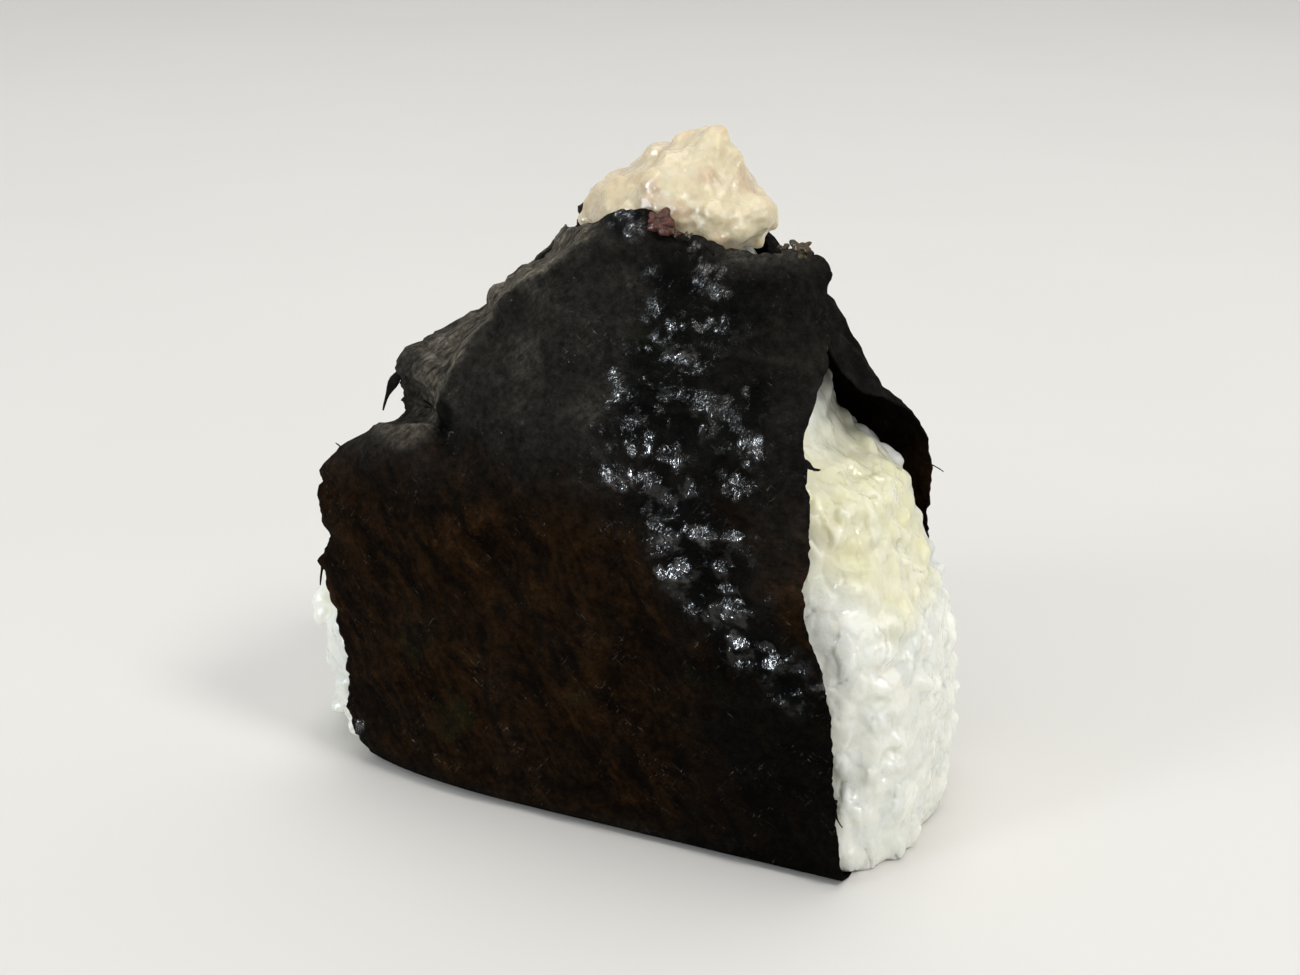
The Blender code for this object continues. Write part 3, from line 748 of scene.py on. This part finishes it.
def wet_patch(points):
    """1 where the sheet is wet and glossy: a ragged patch down the front, the hump and a spot at the foot."""
    x, y, z = points.T
    middle = np.interp(z, *np.array(WET_PATCH)[:, (0, 1)].T)
    half = np.interp(z, *np.array(WET_PATCH)[:, (0, 2)].T)
    patch = 1.0 - np.abs(x - middle) / half + 0.5 * noise_at(points, 7.0, 7) + 0.25 * noise_at(points, 2.5, 8)
    hump = 1.0 - ((x - 5.5) / 3.4) ** 2 - ((z - 86.0) / 2.6) ** 2
    foot = 0.5 - ((x + 37.5) / 3.0) ** 2 - ((z - 5.0) / 4.0) ** 2
    tear = 1.0 - ((x + 21.0) / 1.8) ** 2 - ((z - 57.0) / 4.0) ** 2
    patch = np.where(z > WET_PATCH[0][0], patch, -1.0)
    share = np.maximum(np.maximum(patch, tear), np.maximum(hump, foot))
    behind = 1.0 - np.abs(x + 0.8 * middle - BACK_PATCH_X) / half + 0.5 * noise_at(points, 7.0, 34)
    behind = np.where(z > WET_PATCH[0][0], behind, -1.0)
    share = np.where(y < 0, share, behind)
    return smooth_step(-0.1, 0.75, share) * smooth_step(2.0, 8.0, np.abs(y))


def grey_and_sheen_wing(points, wet):
    """1 where the sheet is greyish, partly the dry sheet's own grey tone and partly painted sheen on slopes and bends
    that face the lamps: the wing folded over the left slope, and the bent top edge.
    """
    x, y, z = points.T
    past_fold = x - np.interp(z, *np.array(WING_FOLD, float).T)
    left = smooth_step(3.0, -2.0, past_fold + 1.5 * noise_at(points, 5.0, 13)) * smooth_step(50.0, 53.0, z)
    left *= 0.62 + 0.38 * smooth_step(-31.0, -20.0, x)
    shoulder = smooth_step(-24.0, -32.0, x) * np.exp(-((z - 49.0 - 0.25 * (x + 40.0)) / 3.2) ** 2) * 0.3
    top = smooth_step(79.0, 82.5, z) * smooth_step(8.0, 14.0, x) * 0.6
    panel = smooth_step(46.0, 62.0, z) * smooth_step(16.0, 6.0, x) * 0.47
    column = smooth_step(24.0, 29.0, x) * smooth_step(36.0, 46.0, z) * 0.2
    share = np.maximum(np.maximum(left, top), np.maximum(shoulder, np.maximum(panel, column)))
    return share * (0.85 + 0.3 * noise_at(points, 6.0, 9)) * smooth_step(-4.0, 2.0, -y + 4.0) * (1.0 - 0.8 * wet)


def brown_and_reflection_share(points, wet):
    """1 where the sheet is brownish and matt: the lower front away from the wet patch, its brown partly the sheet's own
    tone and partly a painted reflection of a brown surface below.
    """
    x, y, z = points.T
    # Less brown in the lower right corner, where the painted shadow lies.
    shadowed_corner = smooth_step(12.0, 30.0, x) * smooth_step(42.0, 26.0, z)
    share = smooth_step(64.0, 40.0, z) * smooth_step(4.0, 14.0, np.abs(y)) * smooth_step(0.0, 4.0, z)
    return (1.0 - wet) * share * (1.0 - 0.6 * shadowed_corner)


# ---------------------------------------------------------------- rice

def rice_gauge(points):
    """1 on the undeformed rice body's surface, below 1 inside; points are relative to its centre."""
    x, y, z = np.abs(points[:, 0]), np.abs(points[:, 1]), points[:, 2]
    sides = ((math.sin(RICE_SLOPE_ANGLE) * x + math.cos(RICE_SLOPE_ANGLE) * z) / RICE_SLOPE_DISTANCE,
             x / RICE_HALF_WIDTH, z / RICE_TOP_DISTANCE, -z / RICE_KEEL_DISTANCE)
    outline = sum(np.maximum(side, 0.0) ** OUTLINE_POWER for side in sides) ** (1.0 / OUTLINE_POWER)
    crowned = (outline ** CROWN_POWER + (y / RICE_HALF_DEPTH) ** CROWN_POWER) ** (1.0 / CROWN_POWER)
    base = np.maximum(-z / RICE_BASE_DISTANCE, 0.0)
    return (crowned ** BASE_POWER + base ** BASE_POWER) ** (1.0 / BASE_POWER)


def rice_surface(directions):
    """Where the rice's smooth surface lies in each direction from its centre."""
    point = directions / rice_gauge(directions)[:, None]
    z = point[:, 2] + RICE_CENTRE_Z
    share = smooth_step(TAPER_START_Z, TAPER_START_Z + TAPER_RUN, z)
    x = point[:, 0] + LEAN * point[:, 2]
    left_end = LEFT_END_INSET + LEFT_FOOT_INSET * smooth_step(16.0, 8.0, z) + LEFT_SOLE_INSET * smooth_step(5.0, 0.5, z)
    x = x - DENT_DEPTH * smooth_step(50.0, 57.0, z) * smooth_step(18.0, 30.0, x)
    x = x - WAIST_DEPTH * np.exp(-((z - 43.0) / 6.0) ** 2) * smooth_step(30.0, 40.0, x)
    x = x + left_end * smooth_step(-30.0, -48.0, x) * smooth_step(62.0, 50.0, z)
    x = x + NOTCH_INSET * np.exp(-((z - 55.5) / 5.0) ** 2) * smooth_step(-27.0, -31.0, x) * smooth_step(4.0, -4.0, point[:, 1])
    x = x + SLOPE_INSET * smooth_step(64.0, 72.0, z) * smooth_step(2.0, -6.0, x)
    z = z - TOP_CORNER_DROP * smooth_step(13.0, 21.0, x) * smooth_step(64.0, 78.0, z)
    foot = FOOT_SWELL * smooth_step(14.0, 2.0, z) * smooth_step(30.0, 41.0, x) * smooth_step(0.0, -10.0, point[:, 1])
    y = point[:, 1] * (1.0 - TAPER_AMOUNT * share) * (1.0 + foot)
    return np.stack((x, y, z), axis=1) + BASE_MIDDLE


def rice_ball(subdivisions):
    """The rice's smooth body as a closed mesh: points, outward normals and faces."""
    made = bmesh.new()
    bmesh.ops.create_icosphere(made, subdivisions=subdivisions, radius=1.0)
    directions = np.array([vertex.co for vertex in made.verts])
    spread = (RICE_HALF_WIDTH, RICE_HALF_DEPTH, RICE_SLOPE_DISTANCE)
    for vertex, point in zip(made.verts, rice_surface(directions * spread)):
        vertex.co = point
    made.normal_update()
    points = np.array([vertex.co for vertex in made.verts])
    normals = np.array([vertex.normal for vertex in made.verts])
    faces = np.array([[vertex.index for vertex in face.verts] for face in made.faces])
    made.free()
    return points, normals, faces


def surface_samples(ball, count):
    """Points spread evenly by area over a closed mesh, with their normals."""
    points, _, faces = ball
    corners = points[faces]
    crosses = np.cross(corners[:, 1] - corners[:, 0], corners[:, 2] - corners[:, 0])
    areas = np.linalg.norm(crosses, axis=1)
    chosen = RNG.choice(len(areas), count, p=areas / areas.sum())
    first, second = RNG.random((2, count, 1))
    flip = first + second > 1.0
    first, second = np.where(flip, 1.0 - first, first), np.where(flip, 1.0 - second, second)
    triangle = corners[chosen]
    points = triangle[:, 0] + first * (triangle[:, 1] - triangle[:, 0]) + second * (triangle[:, 2] - triangle[:, 0])
    return points, crosses[chosen] / areas[chosen, None]


def open_to_view(points, normals, cover, reach=2.4):
    """Which points have no nori close outside them."""
    tree = BVHTree.FromObject(cover, bpy.context.evaluated_depsgraph_get())
    clear = []
    for point, normal in zip(points, normals):
        hit = tree.ray_cast(Vector(point * MM), Vector(normal), reach * MM)
        clear.append(hit[0] is None)
    return np.array(clear)


def spread_out(points, spacing, wanted):
    """Picks points in order, each at least spacing from those already picked."""
    cells, picked = {}, []
    for index in np.flatnonzero(wanted):
        cell = tuple(np.floor(points[index] / spacing).astype(int))
        near = [other for dx in (-1, 0, 1) for dy in (-1, 0, 1) for dz in (-1, 0, 1)
                for other in cells.get((cell[0] + dx, cell[1] + dy, cell[2] + dz), ())]
        if all(np.sum((points[other] - points[index]) ** 2) >= spacing ** 2 for other in near):
            cells.setdefault(cell, []).append(index)
            picked.append(index)
    return np.array(picked)


def unit_grain():
    """A ball's points and faces, the start of every grain."""
    made = bmesh.new()
    bmesh.ops.create_icosphere(made, subdivisions=2, radius=1.0)
    points = np.array([v.co for v in made.verts])
    faces = np.array([[v.index for v in f.verts] for f in made.faces])
    made.free()
    return points, faces


def grain_points(unit, centre, normal, length, width, turn, tilt, bend):
    """One bent, slightly flattened grain lying on a surface."""
    x, y, z = unit[:, 0] * length / 2, unit[:, 1] * width / 2, unit[:, 2] * width * GRAIN_FLATNESS / 2
    blunt = 1.0 - 0.12 * unit[:, 0]
    y, z = y * blunt, z * blunt - bend * (unit[:, 0] ** 2)
    up = Vector(normal)
    side = up.orthogonal().normalized()
    side.rotate(Matrix.Rotation(turn, 3, up))
    forward = (side * math.cos(tilt) + up * math.sin(tilt)).normalized()
    sideways = up.cross(forward).normalized()
    upward = forward.cross(sideways)
    frame_axes = np.array((forward, sideways, upward))
    return centre + np.stack((x, y, z), axis=1) @ frame_axes


def grain_layer(points, normals, covered, depth, jitter, unit, store):
    """Adds a grain at each point, its middle at a depth under the surface; covered ones lie deeper and flatter."""
    base_points, base_faces = unit
    for point, normal, under in zip(points, normals, covered):
        length = RNG.uniform(*GRAIN_LENGTH)
        width = RNG.uniform(*GRAIN_WIDTH)
        turn = RNG.uniform(0.0, math.tau)
        tilt = RNG.normal(0.0, 0.06 if under else 0.2)
        bend = RNG.uniform(0.0, 0.5)
        centre = point - normal * (depth + 0.7 * under + RNG.normal(0.0, jitter * (1.0 - 0.6 * under)))
        centre[2] = max(centre[2], 1.3)
        placed = grain_points(base_points, centre, normal, length, width, turn, tilt, bend)
        placed[:, 2] = np.maximum(placed[:, 2], 0.05)
        store["faces"].append(base_faces + len(base_points) * len(store["points"]))
        store["points"].append(placed)
        store["centres"].append(centre)


def core_of(node):
    """The CAD node's own shape as one welded body: points, normals and faces."""
    made = bmesh.new()
    made.from_mesh(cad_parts[node].data)
    bmesh.ops.remove_doubles(made, verts=made.verts, dist=1e-6)
    bmesh.ops.triangulate(made, faces=made.faces)
    made.normal_update()
    points = np.array([vertex.co for vertex in made.verts]) / MM
    normals = np.array([vertex.normal for vertex in made.verts])
    faces = np.array([[vertex.index for vertex in face.verts] for face in made.faces])
    made.free()
    return points, normals, faces


def make_rice(material, cover, under):
    ball = rice_ball(6)
    samples, normals = surface_samples(ball, 16000)
    clear = open_to_view(samples, normals, cover)
    tree = KDTree(int(clear.sum()))
    for index, point in enumerate(samples[clear]):
        tree.insert(Vector(point), index)
    tree.balance()
    near_open = np.array([tree.find(Vector(point))[2] < 6.0 for point in samples])
    store = {"points": [], "faces": [], "centres": []}
    unit = unit_grain()
    inner = spread_out(samples, 3.2, near_open)
    grain_layer(samples[inner], normals[inner], ~clear[inner], 1.9, 0.3, unit, store)
    outer_start = len(store["centres"])
    outer = len(samples) - 1 - spread_out(samples[::-1], 3.0, near_open[::-1])
    grain_layer(samples[outer], normals[outer], ~clear[outer], 1.2, 0.3, unit, store)
    for place, direction, length, width in LOOSE_GRAINS:
        centre = np.array(place) + BASE_MIDDLE
        store["faces"].append(unit[1] + len(unit[0]) * len(store["points"]))
        store["points"].append(grain_points(unit[0], centre, direction, length, width, 0.4, 0.1, 0.2))
        store["centres"].append(centre)
    core_points, core_normals, core_faces = ball
    core_far = np.array([tree.find(Vector(point))[2] for point in core_points])
    bare = smooth_step(6.0, 1.0, core_far) * (1.0 + 0.6 * noise_at(core_points, 5.0, 14))
    inset = HIDDEN_CORE_INSET + BARE_CORE_INSET * bare
    core_points = core_points - core_normals * inset[:, None]
    grain_count = sum(len(p) for p in store["points"])
    points = np.concatenate(store["points"] + [core_points])
    faces = np.concatenate(store["faces"]).tolist() + (core_faces + grain_count).tolist()
    piece = mesh_object("rice_grains", points, faces, material)
    remesh(piece, GRAIN_VOXEL)
    fused = smeared(piece, smoothed(points_of(piece), edges_of(piece), 2))
    pressed = smooth_step(3.2, 1.2, fused[:, 2]) * smooth_step(-20.0, 0.0, fused[:, 0])
    fused[:, 2] -= np.maximum(fused[:, 2] - 0.1, 0.0) * pressed
    sole = smooth_step(3.6, 2.2, fused[:, 2]) * smooth_step(-15.0, -20.0, fused[:, 0])
    fused[:, 1] -= (fused[:, 1] - np.clip(fused[:, 1], -SOLE_HALF_DEPTH, SOLE_HALF_DEPTH)) * sole
    move_points(piece, tucked_under(tucked_under(fused, under), under))
    hidden = np.array([tree.find(Vector(point))[2] for point in fused]) > 2.4
    thin_hidden(piece, hidden)
    rice_attributes(piece, np.array(store["centres"][outer_start:]))
    return piece


def flakes(points):
    """Height of flat flakes with thin grooves between them, as grains pressed into each other make."""
    heights = []
    for point in points / FLAKE_SIZE:
        distances, centres = noise.voronoi(Vector(point))
        groove = min((distances[1] - distances[0]) / GROOVE_SHARE, 1.0) - 1.0
        heights.append(FLAKE_STEP * noise.noise(centres[0] * 5.3) + GROOVE_DEPTH * groove)
    return np.array(heights)


def smeared(piece, points):
    """The open right side, where the grains are squashed flat into each other in patches, with a few cracks."""
    x, y, z = (points - BASE_MIDDLE).T
    facing = smooth_step(9.0, 1.0, y) * smooth_step(22.0, 32.0, x)
    patches = smooth_step(-0.12, 0.1, noise_at(points, 6.5, 28, stretch=(1.0, 1.0, 1.6)) + 0.15)
    flat = smoothed(points, edges_of(piece), 40)
    normals = normals_of(piece)
    points = points + (flat - points) * (0.8 * facing * patches)[:, None]
    squashed = np.flatnonzero(facing > 0.02)
    relief = np.zeros(len(points))
    relief[squashed] = flakes(points[squashed] + 0.5 * normals[squashed]) * facing[squashed]
    rear = smooth_step(2.0, 8.0, y) * smooth_step(28.0, 36.0, x) * smooth_step(3.0, 7.0, z)
    for index in np.flatnonzero(rear > 0.02):
        distances, _ = noise.voronoi(Vector(points[index] / SCALLOP_SIZE))
        relief[index] += SCALLOP_HEIGHT * rear[index] * (0.4 - distances[0])
    cracks = smooth_step(0.75, 0.97, ridges_at(points, 6.0, 29)) * smooth_step(0.15, 0.35, noise_at(points, 4.0, 30))
    return points + normals * (relief - CRACK_DEPTH * facing * cracks)[:, None]


def tucked_under(points, under):
    """Points pressed back where they would come through the nori."""
    tucked = points.copy()
    for index, point in enumerate(points):
        place, normal, _, distance = under.find_nearest(Vector(point), 5.0)
        if place is None:
            continue
        gap = Vector(point) - place
        out = gap.dot(normal)
        aside = (gap - out * normal).length
        too_far = out + NORI_CLEARANCE
        if too_far > 0.0 and aside < 0.4 + 0.6 * abs(out):
            tucked[index] = Vector(point) - too_far * normal
    return tucked


def thin_hidden(piece, hidden):
    """Fewer faces where the nori covers the rice."""
    group = piece.vertex_groups.new(name="hidden")
    group.add(np.flatnonzero(hidden).tolist(), 1.0, "REPLACE")
    modifier = piece.modifiers.new("thin", "DECIMATE")
    modifier.ratio = 1.0 - HIDDEN_THINNING * hidden.mean()
    modifier.vertex_group = "hidden"
    apply_modifiers(piece)
    piece.vertex_groups.clear()
    piece.data.shade_smooth()


def rice_attributes(piece, centres):
    points = points_of(piece)
    tree = KDTree(len(centres))
    for index, centre in enumerate(centres):
        tree.insert(Vector(centre), index)
    tree.balance()
    tones = RNG.random(len(centres)) ** 1.5
    nearest = np.array([tree.find(Vector(point))[1] for point in points])
    set_attribute(piece, "grain_tone", tones[nearest])
    set_attribute(piece, "cavity", cavity_of(piece, 12))
    x, y, z = (points - BASE_MIDDLE).T
    spot = 1.0 - ((z - 50.0) / 20.0) ** 2 - ((y + 4.0) / 17.0) ** 2
    ragged = spot + 0.5 * noise_at(points, 9.0, 11)
    set_attribute(piece, "stain", smooth_step(-0.1, 0.7, ragged) * smooth_step(15.0, 28.0, x) * smooth_step(63.0, 52.0, z))
    # Greyer grains at the back right are partly their translucent tone and partly painted shade; the top near the apex
    # is painted shade from the nori flap.
    glassy = smooth_step(1.0, 6.0, y) * smooth_step(34.0, 38.0, z) * smooth_step(54.0, 50.0, z) * smooth_step(33.0, 37.0, x)
    shaded_peak = smooth_step(61.0, 67.0, z) * smooth_step(8.0, 16.0, x) * 0.5
    set_attribute(piece, "translucent_and_shaded", np.clip(np.maximum(glassy, shaded_peak) + 0.12 * noise_at(points, 3.0, 16), 0.0, 1.0))


# ---------------------------------------------------------------- filling

def make_filling(material):
    core_points, core_normals, core_faces = core_of("tuna_filling")
    samples, normals = surface_samples((core_points, core_normals, core_faces), 1500)
    chosen = spread_out(samples, 3.4, np.ones(len(samples), bool))
    base_points, base_faces = unit_grain()
    points, faces = [core_points - core_normals * 0.25], [core_faces.tolist()]
    count = len(core_points)
    for index in chosen:
        size = RNG.uniform((3.4, 2.6), (6.5, 4.6))
        centre = samples[index] - normals[index] * RNG.uniform(0.9, 1.7)
        placed = grain_points(base_points, centre, normals[index], size[0], size[1],
                              RNG.uniform(0.0, math.tau), RNG.normal(0.0, 0.25), 0.3)
        points.append(placed)
        faces.append((base_faces + count).tolist())
        count += len(placed)
    piece = mesh_object("tuna_mayonnaise", np.concatenate(points), sum(faces, []), material)
    remesh(piece, 0.3)
    fused = smoothed(points_of(piece), edges_of(piece), 10)
    move_points(piece, fused)
    lift = 0.4 * noise_at(fused, 3.6, 20) + 0.3 * noise_at(fused, 1.9, 21) + 0.18 * noise_at(fused, 0.9, 22)
    fused = fused + normals_of(piece) * lift[:, None]
    move_points(piece, fused)
    set_attribute(piece, "cavity", cavity_of(piece, 14))
    # Tan towards the left side as painted shade, plus random tan patches of flesh.
    x = fused[:, 0] - BASE_MIDDLE[0]
    ragged = smooth_step(12.0, -4.0, x) * 0.5 + smooth_step(0.1, 0.5, noise_at(fused, 3.2, 23))
    set_attribute(piece, "tan_and_left_shade", np.clip(ragged, 0.0, 1.0))
    return piece


def make_morsels(material):
    """Crumbs of cooked filling and torn seaweed left along the sheet's top edge."""
    base_points, base_faces = unit_grain()
    points, faces, tones = [], [], []
    for place, size, lumps, tone in MORSELS:
        for _ in range(lumps):
            centre = np.array(place) + RNG.uniform(-0.42, 0.42, 3) * size * (1.3, 0.7, 1.0)
            lump = grain_points(base_points, centre, (0.1, -0.5, 0.86), size * RNG.uniform(0.4, 0.8),
                                size * RNG.uniform(0.3, 0.5), RNG.uniform(0.0, math.tau), 0.3, 0.1)
            faces += (base_faces + len(base_points) * len(points)).tolist()
            points.append(lump)
            tones.append((centre, tone))
    piece = mesh_object("morsels", np.concatenate(points) + BASE_MIDDLE, faces, material)
    remesh(piece, 0.13)
    fused = smoothed(points_of(piece), edges_of(piece), 2)
    move_points(piece, fused)
    move_points(piece, fused + normals_of(piece) * (0.16 * noise_at(fused, 0.7, 24))[:, None])
    centres = np.array([centre for centre, _ in tones]) + BASE_MIDDLE
    nearest = np.argmin(((fused[:, None] - centres[None]) ** 2).sum(axis=2), axis=1)
    set_attribute(piece, "tone", np.array([tone for _, tone in tones])[nearest])
    set_attribute(piece, "cavity", cavity_of(piece, 8))
    return piece


# ---------------------------------------------------------------- stage

def add_light(name, place, target, size, energy, colour, only_glints=False):
    light = bpy.data.lights.new(name, "AREA")
    light.shape = "DISK"
    light.size = size
    light.energy = energy
    light.color = colour
    lamp = bpy.data.objects.new(name, light)
    lamp.visible_diffuse = not only_glints
    lamp.location = place
    lamp.rotation_euler = (Vector(target) - Vector(place)).to_track_quat("-Z", "Y").to_euler()
    bpy.context.scene.collection.objects.link(lamp)


def make_stage():
    scene = bpy.context.scene
    floor = mesh_object("floor", [(x, y, -0.02) for x, y in ((-1500, -1500), (1500, -1500), (1500, 1500), (-1500, 1500))],
                        [(0, 1, 2, 3)], floor_material())
    world = bpy.data.worlds.new("studio")
    world.use_nodes = True
    world.node_tree.nodes["Background"].inputs["Color"].default_value = (0.95, 0.97, 1.0, 1.0)
    world.node_tree.nodes["Background"].inputs["Strength"].default_value = 0.62
    scene.world = world
    middle = (0.0, 0.0, 0.045)
    add_light("key", (1.0, -0.24, 1.25), middle, 0.4, 9.0, (1.0, 0.98, 0.95))
    add_light("window", (-0.82, -1.16, 0.74), middle, 0.4, 5.0, (0.86, 0.94, 1.0))
    add_light("low glints", (-0.66, -1.40, 0.36), middle, 0.42, 36.0, (0.82, 0.91, 1.0), only_glints=True)
    add_light("high glints", (0.04, -1.1, 1.03), middle, 0.3, 6.0, (0.9, 0.95, 1.0), only_glints=True)
    add_light("side glints", (1.45, -0.35, 0.55), middle, 0.2, 9.0, (1.0, 1.0, 0.98), only_glints=True)
    add_light("overhead", (-0.12, 0.3, 1.9), middle, 1.2, 11.0, (1.0, 0.99, 0.97))
    camera = bpy.data.objects.new("camera", bpy.data.cameras.new("camera"))
    camera.data.lens = CAMERA_LENS
    camera.data.sensor_width = 36.0
    camera.location = Vector(BASE_MIDDLE + CAMERA_PLACE) * MM
    camera.rotation_euler = (math.radians(90.0 - CAMERA_PITCH), 0.0, math.radians(CAMERA_AZIMUTH))
    scene.collection.objects.link(camera)
    scene.camera = camera
    scene.view_settings.view_transform = "Standard"


# ---------------------------------------------------------------- main

nori, sheet_surface = make_nori(nori_material())
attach(nori, "root")
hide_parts("nori_sheet")

rice = make_rice(rice_material(), nori, sheet_surface)
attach(rice, "root")
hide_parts("rice_body")

filling = make_filling(filling_material())
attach(filling, "root")
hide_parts("tuna_filling")

morsels = make_morsels(morsel_material())
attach(morsels, "root")

make_stage()
